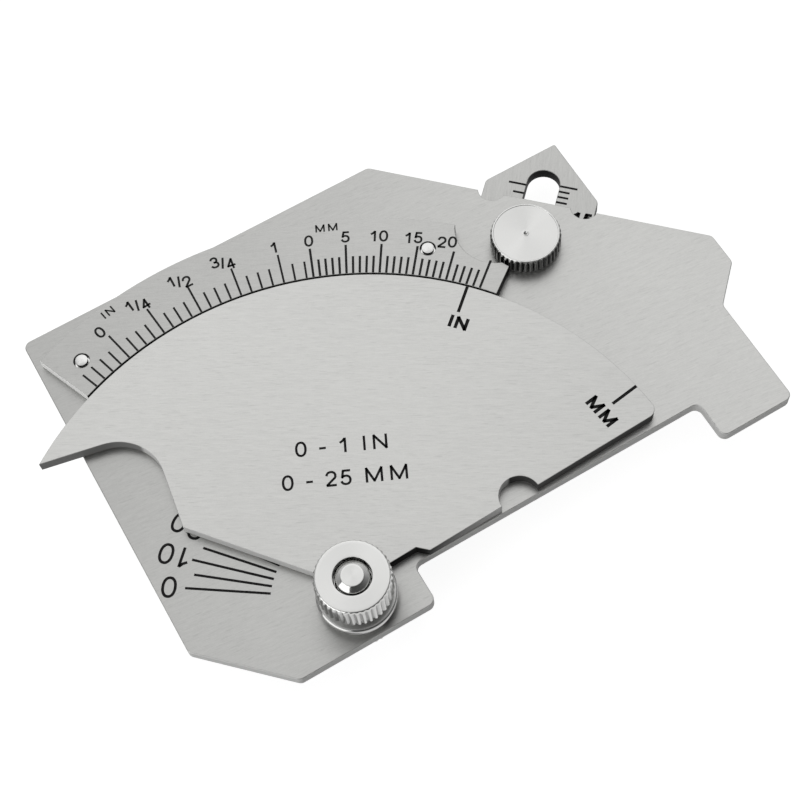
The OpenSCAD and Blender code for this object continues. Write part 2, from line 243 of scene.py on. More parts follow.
def turnedSteel(name, centre, grimeAndShade=0.0, level=1.0, stretch=bright["stretch"]):
    # bright steel with turning marks around a fastener's axis; grimy is how dark its grooves are painted,
    # partly grime and partly painted shade
    material, shader, wire = newMaterial(name)
    spot = wire.node("ShaderNodeTexCoord", out="Object")
    placed = wire.node("ShaderNodeMapping", None, {
        "Vector": spot, "Location": (-centre[0] * mm, -centre[1] * mm, 0)})
    flat = wire.node("ShaderNodeVectorMath", {"operation": "MULTIPLY"}, {0: placed, 1: (1, 1, 0)})
    radius = wire.node("ShaderNodeVectorMath", {"operation": "LENGTH"}, {0: flat}, out="Value")
    height = wire.node("ShaderNodeSeparateXYZ", None, {0: placed}, out="Z")
    ringPlace = wire.node("ShaderNodeCombineXYZ", None, {
        "X": radius / (bright["ring"] * mm), "Y": height / (bright["ring"] * mm)})
    ring = wire.node("ShaderNodeTexNoise", None, {"Vector": ringPlace, **bright["ringNoise"]})
    smear = wire.node("ShaderNodeTexNoise", None, {"Vector": spot, **bright["smearNoise"]})
    relief = wire.node("ShaderNodeBump", None, {
        "Strength": 1.0, "Distance": bright["depth"] * mm, "Height": ring})
    shine = ring * bright["ringShare"] + smear * bright["smearShare"]
    faced = wire.node("ShaderNodeAttribute", {"attribute_name": "faced"}, out="Fac")
    groove = wire.node("ShaderNodeAttribute", {"attribute_name": "groove"}, out="Fac")
    base = bright["rough"] + faced * (bright["facedRough"] - bright["rough"])
    metal = wire.node("ShaderNodeVectorMath", {"operation": "SCALE"},
                      {0: shine.toward(bright["shade"], bright["tone"]), "Scale": level})
    # grooves take the dark fill, partly grime and partly painted shade
    feed(shader, wire, {
        "Base Color": (groove * grimeAndShade).toward(metal, bright["grimeAndShadeTone"]),
        "Metallic": 1.0,
        "Roughness": (base + (ring - noiseMiddle) * bright["ringRough"]
                      + (smear - noiseMiddle) * bright["smearRough"]),
        "Anisotropic": stretch,
        "Anisotropic Rotation": bright["stretchTurn"],
        "Normal": relief,
    })
    return material


etch = {
    "noise": {"Scale": 2600.0, "Detail": 3.0},
    "blue": 0.97,  # share of blue in its lighter patches
    "rough": 0.45,
    "uneven": 0.3,
    "specular": 0.1,
}


def etchedInk(name, dark, light):  # matt black fill of an etched line, a little uneven
    material, shader, wire = newMaterial(name)
    spot = wire.node("ShaderNodeTexCoord", out="Object")
    patch = wire.node("ShaderNodeTexNoise", None, {"Vector": spot, **etch["noise"]})
    feed(shader, wire, {
        "Base Color": patch.toward((dark, dark, dark, 1), (light, light, light * etch["blue"], 1)),
        "Roughness": etch["rough"] + patch * etch["uneven"],
        "Specular IOR Level": etch["specular"],
    })
    return material


# Meshes
shaping = {
    "flat": 0.001,  # points nearer than this lie on one level, or at one place
    "apart": 0.004,  # points nearer than this on a rim are one point
    "near": 0.15,  # how far from a corner a long side has its extra points
    "long": 1.0,  # length from which a side has them
    "roundSteps": 5,
    "plateCrease": 28,  # degrees between faces from which an edge stays sharp
    "turnedCrease": 32,
    "weld": 1e-7,  # in metres
    "tiny": 1e-9,
}


def newPiece(name, points, faces, material, body):  # points in millimetres, faces as indices
    mesh = bpy.data.meshes.new(name)
    mesh.from_pydata((np.asarray(points) * mm).tolist(), [], [list(map(int, face)) for face in faces])
    mesh.materials.append(material)
    piece = bpy.data.objects.new(name, mesh)
    bpy.context.scene.collection.objects.link(piece)
    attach(piece, body)
    return piece


def mark(piece, name, values):  # a number for each point, which the material reads
    layer = piece.data.attributes.new(name, "FLOAT", "POINT")
    layer.data.foreach_set("value", np.asarray(values, dtype=np.float32).ravel())


def standFor(node):  # hides the CAD node, whose place the piece takes
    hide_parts(node)


def bodyOf(node):
    return frame["nodes"][node]["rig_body"]


def gridFaces(rows, columns, start=0, wrapRows=False):  # quads of a grid that closes round its columns
    row, column = np.meshgrid(np.arange(rows - (not wrapRows)), np.arange(columns), indexing="ij")
    up = (row + 1) % rows
    beside = (column + 1) % columns
    here, there = row * columns, up * columns
    quads = np.stack([here + column, here + beside, there + beside, there + column], -1)
    return quads.reshape(-1, 4) + start


def solidPoints(node):  # a CAD solid's merged points in millimetres, and its triangles
    mesh = frame["nodes"][node].data
    mesh.calc_loop_triangles()
    points = np.empty(len(mesh.vertices) * 3)
    mesh.vertices.foreach_get("co", points)
    corners = np.empty(len(mesh.loop_triangles) * 3, dtype=np.int32)
    mesh.loop_triangles.foreach_get("vertices", corners)
    merged, index = np.unique((points.reshape(-1, 3) / mm).round(4), axis=0, return_inverse=True)
    return merged, index.reshape(-1)[corners].reshape(-1, 3)


def rimLoops(node):  # closed loops round a plate's underside, the outline turning left and holes right
    points, triangles = solidPoints(node)
    under = (points[triangles][:, :, 2] < points[:, 2].min() + shaping["flat"]).all(1)
    edges = triangles[under][:, [[0, 1], [1, 2], [2, 0]]].reshape(-1, 2)
    code = edges @ (len(points), 1)
    rim = edges[~np.isin(code, edges[:, ::-1] @ (len(points), 1))]
    after = {int(b): int(a) for a, b in rim}  # the underside faces down, so its rim is walked backwards
    loops = []
    while after:
        here = next(iter(after))
        chain = []
        while here in after:
            chain.append(here)
            here = after.pop(here)
        loop = points[chain][:, :2]
        apart = np.linalg.norm(loop - np.roll(loop, 1, 0), axis=1) > shaping["apart"]
        loops.append(cornered(loop[apart]))
    return sorted(loops, key=lambda loop: -np.ptp(loop[:, 0]))


def cornered(loop):  # the same loop with two more points, near its ends, on each long side
    ahead = np.roll(loop, -1, 0)
    length = np.linalg.norm(ahead - loop, axis=1)
    step = (ahead - loop) * (shaping["near"] / length)[:, None]
    sides = np.stack([loop, loop + step, ahead - step], 1)
    isLong = length > shaping["long"]
    return sides[np.stack([length > 0, isLong, isLong], 1)]


def inward(loop):
    # mitred step into the metal, which lies left of the loop's way round: the sum of both sides' left
    # normals over one plus their dot product
    ahead = np.roll(loop, -1, 0) - loop
    ahead /= np.linalg.norm(ahead, axis=1, keepdims=True)
    left = np.stack([-ahead[:, 1], ahead[:, 0]], 1)
    before = np.roll(left, 1, 0)
    return (left + before) / (1 + (left * before).sum(1, keepdims=True))


def plate(node, material, breakEdge, paintedShades, skip=None):
    # edge profile carried along each loop: a quarter round of radius breakEdge, the wall, a quarter round;
    # walls of holes get painted shade, and so, by a spot's share, do walls within reach of its centre
    low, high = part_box(node)
    bottom, top = low.z / mm, high.z / mm
    turn = np.linspace(0, math.pi / 2, shaping["roundSteps"])
    inset = breakEdge * np.concatenate([1 - np.sin(turn), 1 - np.cos(turn)])
    level = np.concatenate([bottom + breakEdge * (1 - np.cos(turn)), top - breakEdge * (1 - np.sin(turn))])
    points, faces, darks, lowCap, highCap, lowStarts, highStarts = ([] for _ in range(7))
    start = 0
    for order, loop in enumerate(rimLoops(node)):
        middle = (loop.min(0) + loop.max(0)) / 2
        if skip is not None and np.hypot(*(middle - skip)) < breakEdge:
            continue
        step = inward(loop)
        ring = loop[None] + inset[:, None, None] * step[None]
        heights = np.broadcast_to(level[:, None, None], ring.shape[:2] + (1,))
        points.append(np.concatenate([ring, heights], 2).reshape(-1, 3))
        faces.append(gridFaces(len(level), len(loop), start))
        # painted shade on walls near each spot's centre and on the walls of holes
        near = [np.where(np.hypot(*(loop - centre).T) < far, share, 0.0) for centre, far, share in paintedShades]
        hole = np.full(len(loop), float(order > 0))
        darks.append(np.tile(np.max([*near, hole], axis=0), len(level)))
        lowCap.append(ring[0])
        highCap.append(ring[-1])
        lowStarts.append(start)
        highStarts.append(start + (len(level) - 1) * len(loop))
        start += len(level) * len(loop)
    walls = np.concatenate(faces)
    caps = [*capFaces(lowCap, lowStarts)[:, ::-1], *capFaces(highCap, highStarts)]
    allPoints = np.concatenate(points)
    piece = newPiece(node + "_metal", allPoints, [*walls, *caps], material, bodyOf(node))
    smooth = np.zeros(len(piece.data.polygons), dtype=bool)
    smooth[:len(walls)] = True
    piece.data.polygons.foreach_set("use_smooth", smooth)
    piece.data.set_sharp_from_angle(angle=math.radians(shaping["plateCrease"]))
    piece.data.polygons.foreach_set("use_smooth", smooth)
    depth = np.minimum(allPoints[:, 2] - bottom, top - allPoints[:, 2])
    mark(piece, "rim", np.clip(depth / breakEdge, 0, 1))
    mark(piece, "pocket", np.concatenate(darks))
    standFor(node)


def capFaces(loops, starts):  # triangles of a flat face with holes, all turning left
    flat = np.concatenate(loops)
    index = np.concatenate([start + np.arange(len(loop)) for loop, start in zip(loops, starts)])
    raised = [np.pad(loop, ((0, 0), (0, 1))).tolist() for loop in loops]
    triangles = np.array(tessellate_polygon([list(map(Vector, loop)) for loop in raised]))
    a, b, c = (flat[triangles[:, i]] for i in range(3))
    area = (b[:, 0] - a[:, 0]) * (c[:, 1] - a[:, 1]) - (b[:, 1] - a[:, 1]) * (c[:, 0] - a[:, 0])
    triangles[area < 0] = triangles[area < 0][:, ::-1]
    return index[triangles[np.abs(area) > shaping["tiny"]]]


def softened(corners, steps=5):
    # path of (radius, height, knurl, thread) through corners that have a rounding length as fifth number;
    # a rounded corner is the curve (1 - t)^2 start + 2 t (1 - t) corner + t^2 end
    corners = np.array(corners, dtype=float)
    path = []
    for i, corner in enumerate(corners):
        here = corner[:4]
        if corner[4] == 0 or i in (0, len(corners) - 1):
            path.append(here[None])
            continue
        back = corners[i - 1][:4] - here
        on = corners[i + 1][:4] - here
        start = here + back * min(0.5, corner[4] / np.hypot(*back[:2]))
        end = here + on * min(0.5, corner[4] / np.hypot(*on[:2]))
        t = np.linspace(0, 1, steps)[:, None]
        path.append((1 - t) ** 2 * start + 2 * t * (1 - t) * here + t ** 2 * end)
    return np.concatenate(path)


def filled(path, step):  # the same path with points no further apart than step
    parts = []
    for here, there in zip(path[:-1], path[1:]):
        count = max(1, math.ceil(np.hypot(*(there - here)[:2]) / step))
        parts.append(here + (there - here) * (np.arange(count) / count)[:, None])
    return np.concatenate([*parts, path[-1:]])


knurling = {
    "teeth": 40, "depth": 0.27, "crest": 0.28, "perTooth": 10,
    "pitch": 0.8, "threadDepth": 0.34, "flank": 1.25, "crestThread": 0.15,  # the thread's helix
    "crestGrimeAndShade": 0.4,  # share of the groove darkening on the crests: painted shade over the whole knurl, with some grime
    "flatPower": 4,  # how sharply faced parts are set off from walls
}


def turned(node, material, path, ring=False, columns=None):
    # radius(s, a) = path radius - knurl share * straight ridges(a) - thread share * helix(z, a)
    low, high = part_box(node)
    x, y = (low.x + high.x) / 2 / mm, (low.y + high.y) / 2 / mm
    columns = columns or knurling["teeth"] * knurling["perTooth"]
    angle = np.arange(columns) * 2 * math.pi / columns
    radius, level, knurl, thread = (path[:, i, None] for i in range(4))
    tooth = np.abs((angle * knurling["teeth"] / (2 * math.pi)) % 1 * 2 - 1)[None]
    groove = np.clip((tooth - knurling["crest"]) / (1 - knurling["crest"]), 0, 1)
    helix = np.abs((level / knurling["pitch"] - angle[None] / (2 * math.pi)) % 1 * 2 - 1)
    ridge = np.clip(helix * knurling["flank"] - knurling["crestThread"], 0, 1)
    wide = radius - (knurl * knurling["depth"] * groove + thread * knurling["threadDepth"] * ridge)
    points = np.stack([x + wide * np.cos(angle), y + wide * np.sin(angle), level + 0 * wide], -1)
    faces = gridFaces(len(path), columns, 0, ring)
    piece = newPiece(node + "_metal", points.reshape(-1, 3), faces, material, bodyOf(node))
    run = np.abs(np.gradient(path[:, 0]))
    rise = np.abs(np.gradient(path[:, 1]))
    flatness = run / (run + rise + shaping["tiny"])  # 1 on a flat face, 0 on a wall
    mark(piece, "faced", np.repeat(flatness ** knurling["flatPower"], columns))
    crestGrimeAndShade = knurling["crestGrimeAndShade"]
    # darkening of knurl and thread grooves, crests included: partly grime, partly painted shade
    mark(piece, "groove", knurl * (crestGrimeAndShade + (1 - crestGrimeAndShade) * np.sqrt(groove)) + thread * helix)
    shell = bmesh.new()
    shell.from_mesh(piece.data)
    bmesh.ops.remove_doubles(shell, verts=shell.verts, dist=shaping["weld"])
    shell.to_mesh(piece.data)
    shell.free()
    piece.data.shade_smooth()
    piece.data.set_sharp_from_angle(angle=math.radians(shaping["turnedCrease"]))
    standFor(node)


def centreOf(node):  # middle of a node's box in X and Y, in millimetres
    low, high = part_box(node)
    return np.array([(low.x + high.x) / 2, (low.y + high.y) / 2]) / mm


def levels(node):  # a node's lowest and highest Z, in millimetres
    low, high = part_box(node)
    return low.z / mm, high.z / mm


def polar(radius, degrees):  # the point (radius cos a, radius sin a)
    a = np.radians(degrees)
    return np.stack([radius * np.cos(a), radius * np.sin(a)], -1)


# Places read from the frame
pivot = centreOf("cam_nut_washer")
slideScrew = centreOf("slide_washer")
camPoints = solidPoints("cam_plate")[0][:, :2] - pivot
camRadius = np.hypot(*camPoints.T).max()
camTip = camPoints[camPoints[:, 0].argmin()]
tipAngle = math.degrees(math.atan2(camTip[1], camTip[0]))
scaleIn = np.hypot(*(solidPoints("scale_plate")[0][:, :2] - pivot).T).min()
plateCorner = np.array(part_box("body_plate")[1][:2]) / mm
slideAcross = np.array([1, -1]) / math.sqrt(2)
slideAlong = np.array([1, 1]) / math.sqrt(2)

# Plates: grain in degrees, tone level and its painted light slope, wall colour, painted shade spots as
# (centre, reach, share)
plates = {
    "body_plate": {
        "round": 0.13, "grain": -7, "shift": 0, "level": 0.878, "paintedLightSlope": 0.24,
        "edge": (0.62, 0.62, 0.61, 1), "paintedShades": ()},
    "scale_plate": {
        "round": 0.08, "grain": -27, "shift": 41, "level": 0.845, "paintedLightSlope": 0.14,
        # near-white walls: a painted highlight on the end that faces the side lamp
        "edge": (0.95, 0.95, 0.935, 1),
        # painted shade on walls in the gap by the cam and near the knob
        "paintedShades": ((pivot, scaleIn + 0.05, 1.0), (slideScrew, 11.5, 1.0))},
    "cam_plate": {
        "round": 0.07, "grain": -31, "shift": 83, "level": 0.955, "paintedLightSlope": -0.06,
        "edge": (0.6, 0.6, 0.59, 1),
        # painted shade on walls right of the nut, along the lower edge and under the beak
        "paintedShades": (((13.0, 1.0), 12.0, 1.0), ((38.0, 3.0), 13.0, 0.92), ((-24.0, 44.0), 8.1, 0.65))},
    "slide_plate": {
        "round": 0.13, "grain": 52, "shift": 127, "level": 0.82, "paintedLightSlope": 0.0,
        # near-black walls: painted shade in the slot
        "edge": (0.07, 0.07, 0.068, 1), "paintedShades": ()},
}
for node, look in plates.items():
    blindHole = centreOf("slide_guide_pin") if node == "body_plate" else None
    plate(node, satinSteel(node + "Steel", look), look["round"], look["paintedShades"], blindHole)
print("plates done")

# Fasteners, as paths of (radius, height, knurl, thread, rounding)
# grimy darkens the knurl grooves: partly grime, partly painted shade, strongest on the slide knob
pivotSteel = turnedSteel("pivotSteel", pivot, grimeAndShade=0.5, level=0.95, stretch=0.6)
slideSteel = turnedSteel("slideKnobSteel", slideScrew, grimeAndShade=1.0, level=0.93)
# a darker copy of the turned steel for the washer under the nut: painted shade
washerShadedSteel = turnedSteel("washerShadedSteel", pivot, level=0.72)
boreRadius = 2.56  # of nuts and washers

nut = {"knob": 5.45, "collar": 3.7, "collarHigh": 1.8, "topBevel": 0.26, "topDrop": 0.65, "lowBevel": 0.3,
       "boreChamfer": 0.2, "mouth": 0.17, "mouthDeep": 2.4, "step": 0.4}
low, high = levels("cam_thumb_nut")
shelf = low + nut["collarHigh"]
turned("cam_thumb_nut", pivotSteel, filled(softened([
    (boreRadius, low, 0, 0, 0),
    (nut["collar"], low, 0, 0, 0.15),
    (nut["collar"], shelf, 0, 0, 0.1),
    (nut["knob"] - nut["lowBevel"], shelf, 0, 0, 0.1),
    (nut["knob"], shelf + nut["lowBevel"], 1, 0, 0.1),
    (nut["knob"], high - nut["topDrop"], 1, 0, 0.12),
    (nut["knob"] - nut["topBevel"], high, 0, 0, 0.25),
    (boreRadius + nut["mouth"], high, 0, 0, 0.08),
    (boreRadius + nut["mouth"], high - nut["mouthDeep"], 0, 0, 0.05),
    (boreRadius, high - nut["mouthDeep"], 0, 0, 0.05),
    (boreRadius, low, 0, 0, 0),
]), nut["step"]))

washers = {"low": 0.1, "high": 0.62, "bore": 0.12, "steps": 8, "columns": 128}  # roundings and fineness
for node, flip in (("cam_nut_washer", 1), ("slide_washer", -1)):
    low, high = levels(node)
    bottom, top = (low, high) if flip > 0 else (high, low)
    washerRadius = (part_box(node)[1].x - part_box(node)[0].x) / 2 / mm
    washer = softened([
        (boreRadius, bottom, 0, 0, 0),
        (washerRadius, bottom, 0, 0, washers["low"]),
        (washerRadius, top, 0, 0, washers["high"]),
        (boreRadius, top, 0, 0, washers["bore"]),
        (boreRadius, bottom, 0, 0, 0),
    ], washers["steps"])
    turned(node, washerShadedSteel if flip > 0 else slideSteel, washer[::flip], columns=washers["columns"])

screw = {"radius": 2.5, "knob": 5.45, "headHigh": 3.1, "bevel": 0.35, "backBevel": 0.9, "chamfer": 1.0,
         "flatEnd": 1.58, "flatDrop": 0.7, "end": 2.42, "endLong": 2.2, "neck": 0.4,
         "spot": 0.5, "plain": 4.2, "threadFrom": 4.6, "step": 0.12}
low, high = levels("cam_pivot_screw")
seat = low + screw["headHigh"]
turned("cam_pivot_screw", pivotSteel, filled(softened([
    (0, low, 0, 0, 0),
    (screw["spot"], low, 0, 0, 0.1),
    (screw["knob"] - screw["backBevel"], low, 0, 0, 0.15),
    (screw["knob"], low + screw["backBevel"], 1, 0, 0.1),
    (screw["knob"], seat - screw["bevel"], 1, 0, 0.1),
    (screw["knob"] - screw["bevel"], seat, 0, 0, 0.1),
    (screw["radius"], seat, 0, 0, 0),
    (screw["radius"], seat + screw["plain"], 0, 0, 0),
    (screw["radius"], seat + screw["threadFrom"], 0, 1, 0),
    (screw["radius"], high - screw["endLong"] - screw["neck"], 0, 1, 0),
    (screw["end"], high - screw["endLong"], 0, 0, 0),
    (screw["end"], high - screw["flatDrop"], 0, 0, 0.12),
    (screw["flatEnd"], high, 0, 0, 0.12),
    (0, high, 0, 0, 0),
]), screw["step"]))

knob = {"face": 4.95, "topBevel": 0.26, "topDrop": 0.6, "lip": 0.05, "dish": 0.2, "pip": 0.24, "pipDeep": 0.5,
        "ridgeOut": 0.3, "ridge": 0.12, "ridgeHigh": 0.09, "plain": 2.0, "threadFrom": 2.4, "step": 0.14}
low, high = levels("slide_thumb_screw")
seat = high - screw["headHigh"]
turned("slide_thumb_screw", slideSteel, filled(softened([
    (0, low, 0, 0, 0),
    (screw["radius"] - screw["chamfer"], low, 0, 0, 0.12),
    (screw["radius"], low + screw["chamfer"], 0, 1, 0.1),
    (screw["radius"], seat - knob["threadFrom"], 0, 1, 0),
    (screw["radius"], seat - knob["plain"], 0, 0, 0),
    (screw["radius"], seat, 0, 0, 0),
    (screw["knob"] - screw["bevel"], seat, 0, 0, 0.1),
    (screw["knob"], seat + screw["bevel"], 1, 0, 0.1),
    (screw["knob"], high - knob["topDrop"], 1, 0, 0.1),
    (screw["knob"] - knob["topBevel"], high, 0, 0, 0.16),
    (knob["face"], high, 0, 0, 0.04),
    (knob["face"] - knob["lip"], high - knob["lip"], 0, 0, 0.04),
    (knob["pip"] + knob["ridgeOut"], high - knob["dish"], 0, 0, 0.2),
    (knob["pip"] + knob["ridge"], high - knob["dish"] + knob["ridgeHigh"], 0, 0, 0.08),
    (knob["pip"], high - knob["dish"], 0, 0, 0.04),
    (0, high - knob["pipDeep"], 0, 0, 0),
]), knob["step"]))

low, high = levels("slide_clamp_nut")
turned("slide_clamp_nut", slideSteel, filled(softened([
    (boreRadius, low, 0, 0, 0),
    (screw["knob"] - screw["bevel"], low, 0, 0, 0.16),
    (screw["knob"], low + screw["bevel"], 1, 0, 0.1),
    (screw["knob"], high - screw["bevel"], 1, 0, 0.1),
    (screw["knob"] - screw["bevel"], high, 0, 0, 0.16),
    (boreRadius, high, 0, 0, 0),
    (boreRadius, low + nut["boreChamfer"], 0, 0, 0.05),
    (boreRadius + nut["boreChamfer"], low, 0, 0, 0),
]), nut["step"])[:-1], ring=True)

pin = {"radius": 2.5, "stem": 1.5, "bevel": 0.25, "columns": 96}
low, high = levels("slide_guide_pin")
plateBack = levels("body_plate")[0]
turned("slide_guide_pin", turnedSteel("pinSteel", centreOf("slide_guide_pin")), softened([
    (0, low, 0, 0, 0),
    (pin["radius"] - pin["bevel"], low, 0, 0, 0.1),
    (pin["radius"], low + pin["bevel"], 0, 0, 0.1),
    (pin["radius"], plateBack, 0, 0, 0),
    (pin["stem"], plateBack, 0, 0, 0),
    (pin["stem"], high, 0, 0, 0),
    (0, high, 0, 0, 0),
]), columns=pin["columns"])

rivet = {"radius": 1.2, "head": 0.92, "dome": 0.14, "groove": 0.7, "edge": 0.08, "steps": 9, "columns": 72}
for node in ("scale_rivet_left", "scale_rivet_right"):
    low, high = levels(node)
    sphere = (rivet["head"] ** 2 + rivet["dome"] ** 2) / (2 * rivet["dome"])
    sweep = np.linspace(math.asin(rivet["head"] / sphere), 0, rivet["steps"])
    domeHeight = high - sphere + sphere * np.cos(sweep)
    dome = np.stack([sphere * np.sin(sweep), domeHeight, 0 * sweep, 0 * sweep], 1)
    grooveFloor = levels("scale_plate")[1] - rivet["groove"]
    shaft = softened([
        (0, low, 0, 0, 0),
        (rivet["radius"] - rivet["edge"], low, 0, 0, 0),
        (rivet["radius"], low + rivet["edge"], 0, 0, 0),
        (rivet["radius"], grooveFloor, 0, 0, 0),
        (rivet["head"], grooveFloor, 0, 0, 0),
    ])
    rivetSteel = turnedSteel(node + "Steel", centreOf(node))
    turned(node, rivetSteel, np.concatenate([shaft, dome]), columns=rivet["columns"])
print("fasteners done")

# Etched lines: closed bars whose tops stand a hair above the metal
ink = {"wide": 0.37, "deep": 0.06, "proud": 0.006, "overrun": 0.3, "square": 0.9}
scaleInk = etchedInk("scaleInk", dark=0.008, light=0.03)
camInk = etchedInk("camInk", dark=0.004, light=0.014)


def bars(starts, ends, wide, top):
    # flat boxes from starts to ends: each end is moved to both sides by half the width, below and above top
    along = ends - starts
    along = along / np.linalg.norm(along, axis=1, keepdims=True)
    side = np.stack([-along[:, 1], along[:, 0]], 1) * wide / 2
    flat = np.stack([starts - side, ends - side, ends + side, starts + side], 1)
    low = np.concatenate([flat, np.full(flat.shape[:2] + (1,), top - ink["deep"])], 2)
    high = np.concatenate([flat, np.full(flat.shape[:2] + (1,), top + ink["proud"])], 2)
    points = np.concatenate([low, high], 1).reshape(-1, 3)
    box = np.array([[3, 2, 1, 0], [4, 5, 6, 7], [0, 1, 5, 4], [1, 2, 6, 5], [2, 3, 7, 6], [3, 0, 4, 7]])
    firsts = np.arange(len(starts)) * (box.max() + 1)
    return points, (firsts[:, None, None] + box[None]).reshape(-1, 4)


def bow(x, y, wide, tall, first, last, count=15):
    # points (x + wide cos a, y + tall sin a), from angle first to last, with sine and cosine raised to a
    # power below one, which squares the ellipse slightly
    a = np.radians(np.linspace(first, last, count))
    c, s = (np.sign(v) * np.abs(v) ** ink["square"] for v in (np.cos(a), np.sin(a)))
    return np.stack([x + wide * c, y + tall * s], 1)


glyphs = {  # strokes' middle lines in a box one unit high, the letter's width, the cell's width
    "0": ([bow(0.32, 0.5, 0.32, 0.5, 0, 360, 33)], 0.64, 0.86),
    "1": ([[(0.04, 0.72), (0.2, 0.82), (0.33, 0.98)], [(0.36, 0), (0.36, 1)]], 0.5, 0.8),
    "2": ([np.concatenate([bow(0.31, 0.71, 0.3, 0.29, 170, -32), [(0.02, 0.03)]]),
           [(0.02, 0), (0.62, 0)]], 0.64, 0.86),
    "3": ([bow(0.29, 0.755, 0.27, 0.245, 160, -90), bow(0.3, 0.255, 0.31, 0.255, 90, -160)], 0.62, 0.86),
    "4": ([[(0.46, 0), (0.46, 1)], [(0.46, 1), (0.02, 0.31)], [(0, 0.3), (0.66, 0.3)]], 0.66, 0.86),
    "5": ([[(0.58, 1), (0.13, 1)], [(0.13, 1), (0.06, 0.5)],
           bow(0.3, 0.31, 0.31, 0.31, 142, -160)], 0.62, 0.86),
    "6": ([bow(0.32, 0.3, 0.31, 0.3, 0, 360, 29), bow(0.34, 0.5, 0.33, 0.5, 32, 198)], 0.64, 0.86),
    "/": ([[(0, 0), (0.3, 1)]], 0.3, 0.54),
    "-": ([[(0, 0.42), (0.36, 0.42)]], 0.36, 0.7),
    "I": ([[(0, 0), (0, 1)]], 0.0, 0.66),
    "N": ([[(0, 0), (0, 1)], [(0, 1), (0.84, 0)], [(0.84, 0), (0.84, 1)]], 0.84, 1.22),
    "M": ([[(0, 0), (0, 1)], [(0, 1), (0.52, 0.04)],
           [(0.52, 0.04), (1.04, 1)], [(1.04, 1), (1.04, 0)]], 1.04, 1.46),
    " ": ([], 0.2, 0.5),
}


def ribbon(line, wide, top):
    # a flat rectangle, wide by the ink's depth, carried along the line, which may end where it starts
    closed = np.hypot(*(line[0] - line[-1])) < shaping["flat"]
    if closed:
        line = line[:-1]
        side = inward(line) * wide / 2
    else:
        ends = line[[0, -1]] - line[[1, -2]]
        ends = ends / np.linalg.norm(ends, axis=1, keepdims=True) * wide * ink["overrun"]
        line = np.concatenate([line[:1] + ends[:1], line[1:-1], line[-1:] + ends[1:]])
        ahead = np.gradient(line, axis=0)
        ahead = ahead / np.linalg.norm(ahead, axis=1, keepdims=True)
        side = np.stack([-ahead[:, 1], ahead[:, 0]], 1) * wide / 2
    low, high = top - ink["deep"], top + ink["proud"]
    rectangle = ((line + side, low), (line - side, low), (line - side, high), (line + side, high))
    column = np.ones((len(line), 1))
    points = np.stack([np.concatenate([flat, column * level], 1) for flat, level in rectangle], 1)
    faces = gridFaces(len(line), 4, 0, closed)
    if not closed:
        last = 4 * (len(line) - 1)
        faces = np.concatenate([faces, [[3, 2, 1, 0], [last, last + 1, last + 2, last + 3]]])
    return points.reshape(-1, 3), faces


def words(items, top, tight=0.0):
    # short texts as (text, centre, glyph direction, line direction, height, stroke), directions in degrees;
    # tight takes that share of the height from the space between letters
    parts = []
    for text, centre, turn, way, tall, wide in items:
        across, up, along = polar(1.0, turn), polar(1.0, turn + 90), polar(1.0, way)
        middle = sum(glyphs[letter][2] - tight for letter in text) / 2
        at = -middle
        for letter in text:
            strokes, width, cell = glyphs[letter]
            cell = cell - tight
            place = centre + along * (at + cell / 2) * tall
            for stroke in strokes:
                flat = (np.asarray(stroke, dtype=float) - (width / 2, 0.5)) * (tall - wide)
                parts.append(ribbon(place + flat[:, :1] * across + flat[:, 1:] * up, wide, top))
            at += cell
    return parts


def inked(name, parts, material, node):  # one piece from several sets of points and faces
    points, faces = [], []
    start = 0
    for partPoints, partFaces in parts:
        points.append(partPoints)
        faces += [[int(i) + start for i in face] for face in partFaces]
        start += len(partPoints)
    piece = newPiece(name, np.concatenate(points), faces, material, bodyOf(node))
    shell = bmesh.new()
    shell.from_mesh(piece.data)
    bmesh.ops.recalc_face_normals(shell, faces=shell.faces)
    shell.to_mesh(piece.data)
    shell.free()


def tipTurn(height):
    # angle from the rest pose that brings the tip to a height above the base line, from the sine of its fall
    return 180 + np.degrees(np.arcsin((pivot[1] - height) / camRadius)) - tipAngle


# Arc scale: sixteenths to the left, millimetres to the right
arc = {
    "inchIndex": 41.7, "mmIndex": 7.5, "inchWide": 0.32, "long": 5.1, "short": 3.0,
    "under": 4, "over": 2, "range": 25, "labelRing": 57.8, "tall": 2.02, "stroke": 0.34, "tight": 0.07,
    "stagger": -26, "mmWay": -31, "unitTall": 1.42, "unitStroke": 0.25,
    "inPlace": (59.7, 100.2), "mmPlace": (59.75, 65.4),  # as radius and angle
}
# labels as text, step and lean in degrees
inchLabels = (("0", 0, 0.6), ("1/4", 4, 0.8), ("1/2", 8, 0.75), ("3/4", 12, 0.9), ("1", 16, 0.3))
mmLabels = (("0", 0, 0.0), ("5", 5, 0.0), ("10", 10, 0.5), ("15", 15, 0.85), ("20", 20, 1.4))
sixteenth = 25.4 / 16
inset = 0.06  # keeps the ink off the rounded edge
top = levels("scale_plate")[1]
inchSteps = np.arange(-arc["under"], round(arc["range"] / sixteenth) + arc["over"] + 1)
mmSteps = np.arange(arc["range"] + 1)
inchTurn = arc["inchIndex"] + tipTurn(inchSteps * sixteenth)
mmTurn = arc["mmIndex"] + tipTurn(mmSteps)
inchLong = np.where((inchSteps % 4 == 0) & (inchSteps >= 0), arc["long"], arc["short"])
mmLong = np.where(mmSteps % 5 == 0, arc["long"], arc["short"])
turns = np.concatenate([inchTurn, mmTurn])
longs = np.concatenate([inchLong, mmLong])
wides = np.repeat([arc["inchWide"], ink["wide"]], [len(inchTurn), len(mmTurn)])[:, None]
lines = bars(pivot + polar(scaleIn + inset, turns), pivot + polar(scaleIn + longs, turns), wides, top)
labels = []
